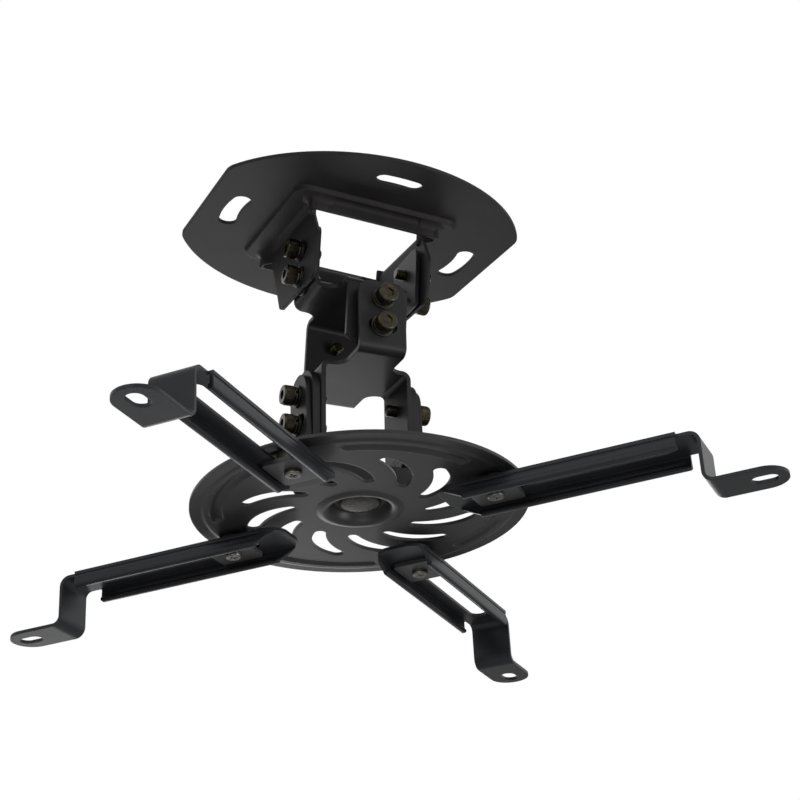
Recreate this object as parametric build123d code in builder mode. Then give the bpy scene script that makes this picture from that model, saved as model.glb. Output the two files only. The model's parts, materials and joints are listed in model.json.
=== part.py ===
"""Tilting ceiling mount with four arms, in millimetres.

The origin is the middle of the ceiling plate's top face, +Z is up, X runs across the plate from
its left ear to its right one, and everything hangs below. The column is a chain of three tilt
joints and a swivel: plate, upper bracket, lower bracket, yoke, arm plate. Each stage has its own
plane, turned by the angle at which the joint stands.
"""
import os
from math import radians

from build123d import *

# Sheet and joints
plate_sheet = 1.5
bracket_sheet = 2.0
yoke_sheet = 2.3
arm_sheet = 1.5
joint_gap = 0.1
tilt_limit = 15.0
bolt_pitch = 13.4

# Joint angles at rest: plate to upper bracket, upper to lower bracket, lower bracket to yoke
upper_tilt = -4.1
middle_roll = -3.2
lower_tilt = -4.1
swivel_turn = 42.2

# Ceiling plate
rim_r = 79.2
side_cut = 8.7
rim_half_x = rim_r - side_cut
rim_corner_r = 13.0
side_slot_r = rim_half_x - 13.7
side_slot_length = 30.0
end_slot_r = rim_r - 17.5
end_slot_length = 21.5
fixing_slot_w = 8.0
pan_half_x = 39.5
pan_half_y = 40.5
pan_corner_r = 7.0
pan_drop = 2.0
pan_draft = 25.0
mouth_half_y = 34.2
lip_bend_r = 2.8
lip_depth = 9.6
ear_outer_x = 27.5
ear_bend_r = 4.0
fold_half = 28.0
fold_depth = 8.0
ear_front = 19.0
ear_wing_drop = 21.0
ear_under = 6.7
ear_tail = 25.5
ear_corner_r = 5.0

# Column heights and places
column_y = -17.5
upper_pivot_drop = 35.7
middle_pivot_drop = 19.7
lower_pivot_drop = 37.4

# Upper bracket, measured from the upper joint's pivot bolt
upper_base_drop = 7.6
upper_ear_gap = 0.9
upper_ear_over = 9.0
upper_ear_half = 13.2
upper_leg_gap = 3.7
upper_leg_half = 13.9
upper_leg_r = 22.0
disc_spacer_r = 8.0

# Lower bracket, measured from the lower joint's pivot bolt
flange_outer_y = 32.0
flange_half = 10.8
flange_over = 8.3
lower_base_rise = 12.1
lower_ear_outer_x = 21.0
lower_ear_half = 12.75
lower_ear_under = 9.5
friction_r = 12.0
bend_r = 4.0
notch_r = 5.5
tip_r = 5.0

# Yoke
yoke_ear_outer_x = 27.0
yoke_ear_r = 9.75
yoke_pivot_height = 49.8
yoke_bend_r = 4.5

# Bolts of the three joints
bolt_r = 2.5
bolt_fit = 0.05
slot_fit = 0.3
bolt_head_r = 4.3
bolt_head_h = 5.0
socket_flats = 4.0
socket_depth = 2.6
spring_washer_r = 4.2
spring_washer_t = 1.3
washer_r = 5.0
washer_t = 1.0
bolt_tip = 4.6

# Arm plate
disc_r = 72.5
disc_sheet = 1.5
lip_inner_r = disc_r - 6.5
lip_rise = 0.5
hub_floor_r = 10.5
hub_rim_r = 18.5
hub_rise = 4.8
bead_mid_r = lip_inner_r - 5.0
bead_w = 8.0
bead_rise = 2.2
bead_span = 48.0
curl_count = 12
curl_in_r = 29.8
curl_in_angle = 2.0
curl_out_r = 48.4
curl_out_angle = -22.0
curl_bow = 3.2
curl_in_w = 5.0
curl_mid_w = 7.2
curl_out_w = 5.6

# Centre rivet
rivet_r = 5.0
rivet_head_r = 8.7
rivet_head_h = 1.8
rivet_fit = 0.05
swivel_washer_r = 9.0
swivel_washer_t = 1.0

# Clamps under the arms
clamp_r = lip_inner_r - 4.3
clamp_across = 18.0
clamp_along = 20.0
clamp_t = 2.0
clamp_corner_r = 1.5
clamp_bolt_r = 2.0
thread_fit = 0.02
clamp_head_r = 3.6
clamp_head_h = 1.7
cross_w = 1.0
cross_depth = 1.0
spacer_r = 6.5
nut_flats = 7.0
nut_h = 3.2

# Arms, each with its tab's hole at its own distance beyond the clamp screw
arm_extensions = (107.2, 104.5, 113.0, 110.2)
arm_reaches = tuple(clamp_r + extension for extension in arm_extensions)
arm_w = 23.5
leg_w = 19.0
arm_corner_r = 3.0
arm_top = -3.6
arm_flange_h = 6.4
arm_drop = 26.5
tongue_back = 133.0
tongue_corner_r = 8.0
channel_back = 131.0
channel_slant = 10.0
channel_front = 30.0
leg_back = 21.5
arm_bend_r = 4.0
arm_slot_back = 117.0
arm_slot_front = 33.5
arm_slot_w = 7.5
tab_tip = 9.5
tab_hole_w = 7.0
tab_hole_length = 11.0

os.makedirs("parts", exist_ok=True)


def write(piece, name):
    """Label a finished piece and write it to its own file."""
    piece.label = name
    export_step(piece, f"parts/{name}.step")


def side_of(stage):
    """The stage's YZ plane, looking along its X."""
    return Plane(stage.origin, x_dir=stage.y_dir, z_dir=stage.x_dir)


def front_of(stage):
    """The stage's XZ plane, seen from the front."""
    return Plane(stage.origin, x_dir=stage.x_dir, z_dir=-stage.y_dir)


def below(stage, drop, x_turn=0.0, y_turn=0.0):
    """The stage that hangs under another one, moved down its Z and turned there."""
    return Plane(stage.location * Location((0, 0, -drop), (x_turn, y_turn, 0)))


# Stages, each with its origin on the pivot bolt of its own joint
upper_stage = Plane(Location((0, column_y, -upper_pivot_drop), (upper_tilt, 0, 0)))
middle_pivot = below(upper_stage, middle_pivot_drop)
middle_stage = below(middle_pivot, 0, y_turn=middle_roll)
lower_stage = below(middle_stage, lower_pivot_drop)
yoke_stage = below(lower_stage, 0, x_turn=lower_tilt)
disc_stage = Plane(yoke_stage.location * Location((0, 0, -yoke_pivot_height), (0, 0, swivel_turn)))

# The bolt circle slots reach past the tilt limit by the bolt's own clearance
slot_half_w = bolt_r + slot_fit
slot_span = 2 * (tilt_limit + 1.0)


def bolt_arc(height, middle):
    """Centre line of the curved slot round a pivot at the given height, centred up or down."""
    return Edge.make_circle(bolt_pitch, Plane.XY.shift_origin((0, height)), middle - slot_span / 2, middle + slot_span / 2)


# Ceiling plate: pressed sheet with a sunk frame, a lip at each end of its mouth and two ears
ear_inner_x = ear_outer_x - plate_sheet
ear_depth = upper_pivot_drop + ear_under
floor_mid = -pan_drop - plate_sheet / 2
lip_mid_y = mouth_half_y + plate_sheet / 2
ear_mid_x = ear_outer_x - plate_sheet / 2
with BuildPart() as ceiling_plate:
    with BuildSketch() as outline:
        Circle(rim_r)
        Rectangle(2 * rim_half_x, 2 * rim_r, mode=Mode.INTERSECT)
        fillet(outline.vertices(), rim_corner_r)
    extrude(amount=-plate_sheet)
    with BuildSketch(Plane.XY.offset(-plate_sheet)):
        RectangleRounded(2 * pan_half_x, 2 * pan_half_y, pan_corner_r)
    extrude(amount=-pan_drop, taper=pan_draft)
    with BuildSketch():
        RectangleRounded(2 * (pan_half_x - plate_sheet), 2 * (pan_half_y - plate_sheet), pan_corner_r - plate_sheet)
    extrude(amount=-pan_drop, taper=pan_draft, mode=Mode.SUBTRACT)
    with BuildSketch():
        Rectangle(2 * (ear_mid_x + ear_bend_r), 2 * (lip_mid_y + lip_bend_r))
    extrude(amount=-(pan_drop + plate_sheet), mode=Mode.SUBTRACT)
    # Lips at the front and back of the mouth
    with BuildSketch(Plane.YZ):
        for side in (-1, 1):
            with BuildLine() as lip_line:
                FilletPolyline(
                    (side * (lip_mid_y + lip_bend_r + plate_sheet / 2), floor_mid),
                    (side * lip_mid_y, floor_mid),
                    (side * lip_mid_y, -lip_depth),
                    radius=lip_bend_r,
                )
            trace(lip_line.line, line_width=plate_sheet)
    extrude(amount=ear_mid_x + ear_bend_r, both=True)
    # Ears: a fold from the frame's floor, cut to the ear's outline as seen from the side
    with BuildPart(mode=Mode.PRIVATE) as ears:
        with BuildSketch(Plane.XZ):
            for side in (-1, 1):
                with BuildLine() as ear_line:
                    FilletPolyline(
                        (side * (ear_mid_x + ear_bend_r + plate_sheet / 2), floor_mid),
                        (side * ear_mid_x, floor_mid),
                        (side * ear_mid_x, -ear_depth),
                        radius=ear_bend_r,
                    )
                trace(ear_line.line, line_width=plate_sheet)
        extrude(amount=rim_r, both=True)
        with BuildSketch(Plane.YZ) as ear_outline:
            with BuildLine():
                Polyline(
                    (-fold_half, 0),
                    (-fold_half, -fold_depth),
                    (column_y - ear_front, -ear_wing_drop),
                    (column_y - ear_front, -ear_depth),
                    (column_y + ear_tail, -ear_depth),
                    (fold_half, -fold_depth),
                    (fold_half, 0),
                    close=True,
                )
            make_face()
            fillet(ear_outline.vertices().group_by(Axis.Y)[:-1], ear_corner_r)
        extrude(amount=rim_r, both=True, mode=Mode.INTERSECT)
    add(ears.part)
    # Fixing slots, bent round the middle of the plate
    with BuildSketch():
        for radius, length, start in (
            (side_slot_r, side_slot_length, 0),
            (side_slot_r, side_slot_length, 180),
            (end_slot_r, end_slot_length, 90),
            (end_slot_r, end_slot_length, 270),
        ):
            half_turn = (length - fixing_slot_w) / 2 / radians(radius)
            SlotArc(Edge.make_circle(radius, Plane.XY, start - half_turn, start + half_turn), fixing_slot_w)
    extrude(amount=-plate_sheet, mode=Mode.SUBTRACT)
    # Pivot hole and curved slot through both ears
    with BuildSketch(Plane.YZ):
        with Locations((column_y, -upper_pivot_drop)):
            Circle(bolt_r + bolt_fit)
            SlotArc(bolt_arc(0, 90), 2 * slot_half_w)
    extrude(amount=2 * ear_outer_x, both=True, mode=Mode.SUBTRACT)
write(ceiling_plate.part, "ceiling_plate")

# Upper bracket: ears up between the plate's ears, legs down between the lower bracket's flanges
upper_side = side_of(upper_stage)
upper_front = front_of(upper_stage)
upper_ear_x = ear_inner_x - upper_ear_gap
upper_leg_y = flange_outer_y - bracket_sheet - upper_leg_gap
upper_base_top = -upper_base_drop
upper_base_under = upper_base_top - bracket_sheet
upper_ear_top = bolt_pitch + upper_ear_over
middle_z = -middle_pivot_drop
with BuildPart() as upper_bracket:
    with BuildSketch(upper_front) as up_profile:
        with BuildLine():
            Polyline(
                (-upper_ear_x, upper_ear_top),
                (-upper_ear_x, upper_base_under),
                (upper_ear_x, upper_base_under),
                (upper_ear_x, upper_ear_top),
                (upper_ear_x - bracket_sheet, upper_ear_top),
                (upper_ear_x - bracket_sheet, upper_base_top),
                (-upper_ear_x + bracket_sheet, upper_base_top),
                (-upper_ear_x + bracket_sheet, upper_ear_top),
                close=True,
            )
        make_face()
        fillet(up_profile.vertices().group_by(Axis.Y)[0], bend_r)
        fillet(up_profile.vertices().filter_by_position(Axis.Y, upper_base_top - 0.1, upper_base_top + 0.1), bend_r - bracket_sheet)
    extrude(amount=upper_ear_half, both=True)
    up_ends = upper_bracket.edges().filter_by(Axis(upper_stage.origin, upper_stage.x_dir))
    fillet(up_ends.group_by(Axis(upper_stage.origin, upper_stage.z_dir))[-1], tip_r)
    with BuildSketch(upper_side) as down_profile:
        with BuildLine():
            Polyline(
                (-upper_leg_y, middle_z - upper_leg_r),
                (-upper_leg_y, upper_base_top),
                (upper_leg_y, upper_base_top),
                (upper_leg_y, middle_z - upper_leg_r),
                (upper_leg_y - bracket_sheet, middle_z - upper_leg_r),
                (upper_leg_y - bracket_sheet, upper_base_under),
                (-upper_leg_y + bracket_sheet, upper_base_under),
                (-upper_leg_y + bracket_sheet, middle_z - upper_leg_r),
                close=True,
            )
        make_face()
        fillet(down_profile.vertices().group_by(Axis.Y)[-1], bend_r)
        fillet(down_profile.vertices().filter_by_position(Axis.Y, upper_base_under - 0.1, upper_base_under + 0.1), bend_r - bracket_sheet)
    extrude(amount=upper_leg_half, both=True)
    upper_notches = upper_bracket.edges().filter_by(Axis(upper_stage.origin, upper_stage.z_dir))
    fillet(upper_notches.filter_by(lambda edge: edge.length < bracket_sheet + 0.01), notch_r)
    # The legs end in an arc about the pivot, so that they clear the lower bracket's base
    with BuildSketch(upper_front):
        with Locations((0, middle_z - upper_leg_r / 2)):
            Rectangle(2 * upper_leg_half + 1, upper_leg_r + 2)
        with Locations((0, middle_z)):
            Circle(upper_leg_r, mode=Mode.SUBTRACT)
    extrude(amount=upper_leg_y + 1, both=True, mode=Mode.SUBTRACT)
    # Bolt holes, all carried by this bracket
    with BuildSketch(upper_side):
        with Locations((0, 0), (0, bolt_pitch)):
            Circle(bolt_r + bolt_fit)
    extrude(amount=upper_ear_x + 1, both=True, mode=Mode.SUBTRACT)
    with BuildSketch(upper_front):
        with Locations((0, middle_z), (0, middle_z - bolt_pitch)):
            Circle(bolt_r + bolt_fit)
    extrude(amount=upper_leg_y + 1, both=True, mode=Mode.SUBTRACT)
write(upper_bracket.part, "upper_bracket")

# Spacer discs on the pivot bolts of the upper and middle joints
side_spacer_t = upper_ear_gap - 2 * joint_gap
end_spacer_t = upper_leg_gap - 2 * joint_gap
spacer_discs = (
    ("spacer_disc_left", upper_side, -upper_ear_x - joint_gap, -side_spacer_t, 0),
    ("spacer_disc_right", upper_side, upper_ear_x + joint_gap, side_spacer_t, 0),
    ("spacer_disc_front", upper_front, upper_leg_y + joint_gap, end_spacer_t, middle_z),
    ("spacer_disc_back", upper_front, -upper_leg_y - joint_gap, -end_spacer_t, middle_z),
)
for name, plane, distance, thickness, height in spacer_discs:
    with BuildPart() as spacer_disc:
        with BuildSketch(plane.offset(distance)):
            with Locations((0, height)):
                Circle(disc_spacer_r)
                Circle(bolt_r + bolt_fit, mode=Mode.SUBTRACT)
        extrude(amount=thickness)
    write(spacer_disc.part, name)

# Lower bracket: flanges up outside the upper bracket's legs, ears down inside the yoke
lower_side = side_of(lower_stage)
lower_front = front_of(lower_stage)
lower_base_under = lower_base_rise
lower_base_top = lower_base_rise + bracket_sheet
flange_top = lower_pivot_drop + flange_over
lower_ear_end = -bolt_pitch - lower_ear_under
with BuildPart() as lower_bracket:
    with BuildSketch(lower_side) as flange_profile:
        with BuildLine():
            Polyline(
                (-flange_outer_y, flange_top),
                (-flange_outer_y, lower_base_under),
                (flange_outer_y, lower_base_under),
                (flange_outer_y, flange_top),
                (flange_outer_y - bracket_sheet, flange_top),
                (flange_outer_y - bracket_sheet, lower_base_top),
                (-flange_outer_y + bracket_sheet, lower_base_top),
                (-flange_outer_y + bracket_sheet, flange_top),
                close=True,
            )
        make_face()
        fillet(flange_profile.vertices().group_by(Axis.Y)[0], bend_r)
        fillet(flange_profile.vertices().filter_by_position(Axis.Y, lower_base_top - 0.1, lower_base_top + 0.1), bend_r - bracket_sheet)
    extrude(amount=flange_half, both=True)
    flange_ends = lower_bracket.edges().filter_by(Axis(lower_stage.origin, lower_stage.y_dir))
    fillet(flange_ends.group_by(Axis(lower_stage.origin, lower_stage.z_dir))[-1], tip_r)
    with BuildSketch(lower_front) as ear_profile:
        with BuildLine():
            Polyline(
                (-lower_ear_outer_x, lower_ear_end),
                (-lower_ear_outer_x, lower_base_top),
                (lower_ear_outer_x, lower_base_top),
                (lower_ear_outer_x, lower_ear_end),
                (lower_ear_outer_x - bracket_sheet, lower_ear_end),
                (lower_ear_outer_x - bracket_sheet, lower_base_under),
                (-lower_ear_outer_x + bracket_sheet, lower_base_under),
                (-lower_ear_outer_x + bracket_sheet, lower_ear_end),
                close=True,
            )
        make_face()
        fillet(ear_profile.vertices().group_by(Axis.Y)[-1], bend_r)
        fillet(ear_profile.vertices().filter_by_position(Axis.Y, lower_base_under - 0.1, lower_base_under + 0.1), bend_r - bracket_sheet)
    extrude(amount=lower_ear_half, both=True)
    lower_notches = lower_bracket.edges().filter_by(Axis(lower_stage.origin, lower_stage.z_dir))
    fillet(lower_notches.filter_by(lambda edge: edge.length < bracket_sheet + 0.01), notch_r)
    # Flange holes: the pivot above, the curved slot below it
    with BuildSketch(lower_front):
        with Locations((0, lower_pivot_drop)):
            Circle(bolt_r + bolt_fit)
            SlotArc(bolt_arc(0, 270), 2 * slot_half_w)
    extrude(amount=flange_outer_y + 1, both=True, mode=Mode.SUBTRACT)
    # Ear holes carry the lower joint's bolts
    with BuildSketch(lower_side):
        with Locations((0, 0), (0, -bolt_pitch)):
            Circle(bolt_r + bolt_fit)
    extrude(amount=lower_ear_outer_x + 1, both=True, mode=Mode.SUBTRACT)
write(lower_bracket.part, "lower_bracket")

# Friction plates between the lower bracket's ears and the yoke
yoke_inner_x = yoke_ear_outer_x - yoke_sheet
friction_t = yoke_inner_x - lower_ear_outer_x - 2 * joint_gap
for name, side in (("friction_plate_left", -1), ("friction_plate_right", 1)):
    with BuildPart() as friction_plate:
        with BuildSketch(lower_side.offset(side * (lower_ear_outer_x + joint_gap))):
            Circle(friction_r)
            Rectangle(2 * friction_r, -lower_ear_end, align=(Align.CENTER, Align.MAX))
            with Locations((0, 0), (0, -bolt_pitch)):
                Circle(bolt_r + bolt_fit, mode=Mode.SUBTRACT)
        extrude(amount=side * friction_t)
    write(friction_plate.part, name)

# Yoke: folded sheet, two round-topped ears and a base on the arm plate's hub
yoke_side = side_of(yoke_stage)
yoke_front = front_of(yoke_stage)
hub_top = hub_rise + disc_sheet
yoke_base_under = hub_top + joint_gap - yoke_pivot_height
with BuildPart() as swivel_yoke:
    with BuildSketch(yoke_front) as yoke_profile:
        with BuildLine():
            Polyline(
                (-yoke_ear_outer_x, yoke_ear_r),
                (-yoke_ear_outer_x, yoke_base_under),
                (yoke_ear_outer_x, yoke_base_under),
                (yoke_ear_outer_x, yoke_ear_r),
                (yoke_inner_x, yoke_ear_r),
                (yoke_inner_x, yoke_base_under + yoke_sheet),
                (-yoke_inner_x, yoke_base_under + yoke_sheet),
                (-yoke_inner_x, yoke_ear_r),
                close=True,
            )
        make_face()
        fillet(yoke_profile.vertices().group_by(Axis.Y)[0], yoke_bend_r)
        fillet(yoke_profile.vertices().group_by(Axis.Y)[1], yoke_bend_r - yoke_sheet)
    extrude(amount=yoke_ear_r, both=True)
    # The ears' round tops, about the pivot
    with BuildSketch(yoke_side):
        with Locations((0, yoke_ear_r / 2)):
            Rectangle(2 * yoke_ear_r + 1, yoke_ear_r + 1)
        Circle(yoke_ear_r, mode=Mode.SUBTRACT)
    extrude(amount=yoke_ear_outer_x + 1, both=True, mode=Mode.SUBTRACT)
    with BuildSketch(yoke_side):
        Circle(bolt_r + bolt_fit)
        SlotArc(bolt_arc(0, 270), 2 * slot_half_w)
    extrude(amount=yoke_ear_outer_x + 1, both=True, mode=Mode.SUBTRACT)
    with BuildSketch(yoke_stage.offset(yoke_base_under)):
        Circle(rivet_r)
    extrude(amount=yoke_sheet, mode=Mode.SUBTRACT)
write(swivel_yoke.part, "swivel_yoke")

# Centre rivet: broad head in the hub's bowl, shank through the hub and the yoke, upset above
rivet_seat = hub_rise - joint_gap
yoke_base_top = hub_top + joint_gap + yoke_sheet
with BuildPart() as centre_rivet:
    with BuildSketch(disc_stage.offset(rivet_seat)):
        Circle(rivet_head_r)
    extrude(amount=-rivet_head_h)
    with BuildSketch(disc_stage.offset(rivet_seat)):
        Circle(rivet_r)
    extrude(amount=yoke_base_top + swivel_washer_t - rivet_seat)
    with BuildSketch(disc_stage.offset(yoke_base_top + swivel_washer_t)):
        Circle(rivet_r + 1.6)
    extrude(amount=1.6)
    rivet_rim = centre_rivet.edges().filter_by(GeomType.CIRCLE)
    fillet(rivet_rim.group_by(Axis(disc_stage.origin, disc_stage.z_dir))[0], 0.6)
    fillet(rivet_rim.group_by(Axis(disc_stage.origin, disc_stage.z_dir))[-1], 1.0)
write(centre_rivet.part, "centre_rivet")

with BuildPart() as swivel_washer:
    with BuildSketch(disc_stage.offset(yoke_base_top)):
        Circle(swivel_washer_r)
        Circle(rivet_r, mode=Mode.SUBTRACT)
    extrude(amount=swivel_washer_t)
write(swivel_washer.part, "swivel_washer")

# Arm plate: pressed disc with a raised hub, a stepped lip, four beads and curled slots
disc_mid = disc_sheet / 2
with BuildPart() as arm_plate:
    with BuildSketch(front_of(disc_stage)):
        with BuildLine() as disc_line:
            FilletPolyline(
                (rivet_r + rivet_fit, hub_rise + disc_mid),
                (hub_floor_r, hub_rise + disc_mid),
                (hub_rim_r, disc_mid),
                (lip_inner_r, disc_mid),
                (lip_inner_r + 1.5, disc_mid + lip_rise),
                (disc_r, disc_mid + lip_rise),
                radius=1.2,
            )
        trace(disc_line.line, line_width=disc_sheet)
    revolve(axis=Axis(disc_stage.origin, disc_stage.z_dir))
    with BuildSketch(disc_stage):
        for quarter in range(4):
            middle = 45 + 90 * quarter
            SlotArc(Edge.make_circle(bead_mid_r, Plane.XY, middle - bead_span / 2, middle + bead_span / 2), bead_w)
    extrude(amount=bead_rise + disc_sheet)
    with BuildSketch(disc_stage):
        for quarter in range(4):
            middle = 45 + 90 * quarter
            SlotArc(Edge.make_circle(bead_mid_r, Plane.XY, middle - bead_span / 2, middle + bead_span / 2), bead_w - 2 * disc_sheet)
    extrude(amount=bead_rise, mode=Mode.SUBTRACT)
    # One curled slot, drawn as four arcs, then repeated round the hub
    curl_in = Vector(curl_in_r, 0).rotate(Axis.Z, 90 + curl_in_angle)
    curl_out = Vector(curl_out_r, 0).rotate(Axis.Z, 90 + curl_out_angle)
    chord = (curl_out - curl_in).normalized()
    across = chord.rotate(Axis.Z, 90)
    curl_mid = (curl_in + curl_out) * 0.5 + across * curl_bow
    start_dir = chord.rotate(Axis.Z, 24)
    end_dir = chord.rotate(Axis.Z, -24)
    start_across = start_dir.rotate(Axis.Z, 90)
    end_across = end_dir.rotate(Axis.Z, 90)
    with BuildSketch(disc_stage):
        with PolarLocations(0, curl_count):
            with BuildSketch(Plane.XY, mode=Mode.PRIVATE) as curl:
                with BuildLine():
                    ThreePointArc(
                        curl_in + start_across * (curl_in_w / 2),
                        curl_mid + across * (curl_mid_w / 2),
                        curl_out + end_across * (curl_out_w / 2),
                    )
                    ThreePointArc(
                        curl_out + end_across * (curl_out_w / 2),
                        curl_out + end_dir * (curl_out_w / 2),
                        curl_out - end_across * (curl_out_w / 2),
                    )
                    ThreePointArc(
                        curl_out - end_across * (curl_out_w / 2),
                        curl_mid - across * (curl_mid_w / 2),
                        curl_in - start_across * (curl_in_w / 2),
                    )
                    ThreePointArc(
                        curl_in - start_across * (curl_in_w / 2),
                        curl_in - start_dir * (curl_in_w / 2),
                        curl_in + start_across * (curl_in_w / 2),
                    )
                make_face()
            add(curl.sketch)
        with PolarLocations(clamp_r, 4):
            Circle(clamp_bolt_r + bolt_fit)
    extrude(amount=disc_sheet, mode=Mode.SUBTRACT)
write(arm_plate.part, "arm_plate")

# Arms: channel, step down and round tab, each on its own quarter of the plate
web_mid = arm_top - arm_sheet / 2
tab_mid = -arm_drop + arm_sheet / 2
head_seat = arm_top - arm_sheet - clamp_t - 2 * joint_gap
for index, reach in enumerate(arm_reaches):
    arm_stage = Plane(disc_stage.location * Location((0, 0, 0), (0, 0, 90 * index)))
    arm_front = front_of(arm_stage)
    arm_side = side_of(arm_stage)
    with BuildPart() as arm:
        with BuildSketch(arm_front):
            with BuildLine() as arm_line:
                FilletPolyline(
                    (reach - tongue_back, web_mid),
                    (reach - leg_back, web_mid),
                    (reach - leg_back, tab_mid),
                    (reach + tab_tip, tab_mid),
                    radius=arm_bend_r,
                )
            trace(arm_line.line, line_width=arm_sheet)
        extrude(amount=arm_w / 2, both=True)
        with BuildSketch(arm_side.offset(reach - channel_back)) as channel:
            with Locations((0, arm_top)):
                Rectangle(arm_w, arm_flange_h, align=(Align.CENTER, Align.MAX))
            fillet(channel.vertices().group_by(Axis.Y)[-1], arm_corner_r)
            with Locations((0, arm_top - arm_sheet)):
                Rectangle(arm_w - 2 * arm_sheet, arm_flange_h, align=(Align.CENTER, Align.MAX), mode=Mode.SUBTRACT)
        extrude(amount=channel_back - channel_front)
        # The flanges' slanted inner ends
        with BuildSketch(arm_front):
            with BuildLine():
                Polyline(
                    (reach - channel_back, arm_top - arm_sheet),
                    (reach - channel_back, arm_top - arm_flange_h),
                    (reach - channel_back + channel_slant, arm_top - arm_flange_h),
                    close=True,
                )
            make_face()
        extrude(amount=arm_w, both=True, mode=Mode.SUBTRACT)
        # Rounded tongue, leg, round tab end, web slot and tab hole, seen from above
        with BuildSketch(arm_stage.offset(-arm_drop - 1)) as plan:
            with Locations((reach - tongue_back, 0)):
                Rectangle(tongue_back - channel_front, arm_w, align=(Align.MIN, Align.CENTER))
            fillet(plan.vertices().group_by(Axis.X)[0], tongue_corner_r)
            with Locations((reach - channel_front, 0)):
                Rectangle(channel_front + tab_tip - leg_w / 2, leg_w, align=(Align.MIN, Align.CENTER))
            with Locations((reach + tab_tip - leg_w / 2, 0)):
                Circle(leg_w / 2)
            with Locations((reach, 0)):
                SlotOverall(tab_hole_length, tab_hole_w, mode=Mode.SUBTRACT)
            with Locations((reach - (arm_slot_back + arm_slot_front) / 2, 0)):
                SlotOverall(arm_slot_back - arm_slot_front, arm_slot_w, mode=Mode.SUBTRACT)
        extrude(amount=arm_drop + 2, mode=Mode.INTERSECT)
    write(arm.part, f"arm_{index + 1}")

    with BuildPart() as arm_spacer:
        with BuildSketch(arm_stage.offset(-joint_gap)):
            with Locations((clamp_r, 0)):
                Circle(spacer_r)
                Circle(clamp_bolt_r + bolt_fit, mode=Mode.SUBTRACT)
        extrude(amount=arm_top + 2 * joint_gap)
    write(arm_spacer.part, f"arm_spacer_{index + 1}")

    with BuildPart() as clamp_plate:
        with BuildSketch(arm_stage.offset(arm_top - arm_sheet - joint_gap)):
            with Locations((clamp_r, 0)):
                RectangleRounded(clamp_along, clamp_across, clamp_corner_r)
                Circle(clamp_bolt_r + bolt_fit, mode=Mode.SUBTRACT)
        extrude(amount=-clamp_t)
    write(clamp_plate.part, f"clamp_plate_{index + 1}")

    with BuildPart() as clamp_screw:
        with BuildSketch(arm_stage.offset(head_seat)):
            with Locations((clamp_r, 0)):
                Circle(clamp_head_r)
        extrude(amount=-clamp_head_h)
        head_rim = clamp_screw.edges().filter_by(GeomType.CIRCLE).sort_by(Axis(arm_stage.origin, arm_stage.z_dir))
        fillet(head_rim[0], 0.8)
        with BuildSketch(arm_stage.offset(head_seat)):
            with Locations((clamp_r, 0)):
                Circle(clamp_bolt_r)
        extrude(amount=-head_seat + disc_sheet + nut_h + 1.0)
        with BuildSketch(arm_stage.offset(head_seat - clamp_head_h)):
            with Locations((clamp_r, 0)):
                Rectangle(4 * cross_w, cross_w)
                Rectangle(cross_w, 4 * cross_w)
        extrude(amount=cross_depth, taper=20, mode=Mode.SUBTRACT)
    write(clamp_screw.part, f"clamp_screw_{index + 1}")

    with BuildPart() as clamp_nut:
        with BuildSketch(arm_stage.offset(disc_sheet + joint_gap)):
            with Locations((clamp_r, 0)):
                RegularPolygon(nut_flats / 2, 6, major_radius=False)
                Circle(clamp_bolt_r + thread_fit, mode=Mode.SUBTRACT)
        extrude(amount=nut_h)
    write(clamp_nut.part, f"clamp_nut_{index + 1}")

# Joint bolts: one seat plane on the outer face of each ear, its Z pointing out of the ear
bolt_stack = joint_gap + washer_t + spring_washer_t


def seat(stage, face, height, across_x):
    """A plane on an ear's outer face; face is the signed distance of that face from the column."""
    sign = 1 if face > 0 else -1
    if across_x:
        out = stage.x_dir * sign
        origin = stage.origin + stage.x_dir * face + stage.z_dir * height
    else:
        out = stage.y_dir * sign
        origin = stage.origin + stage.y_dir * face + stage.z_dir * height
    return Plane(origin, x_dir=stage.z_dir, z_dir=out)


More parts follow.
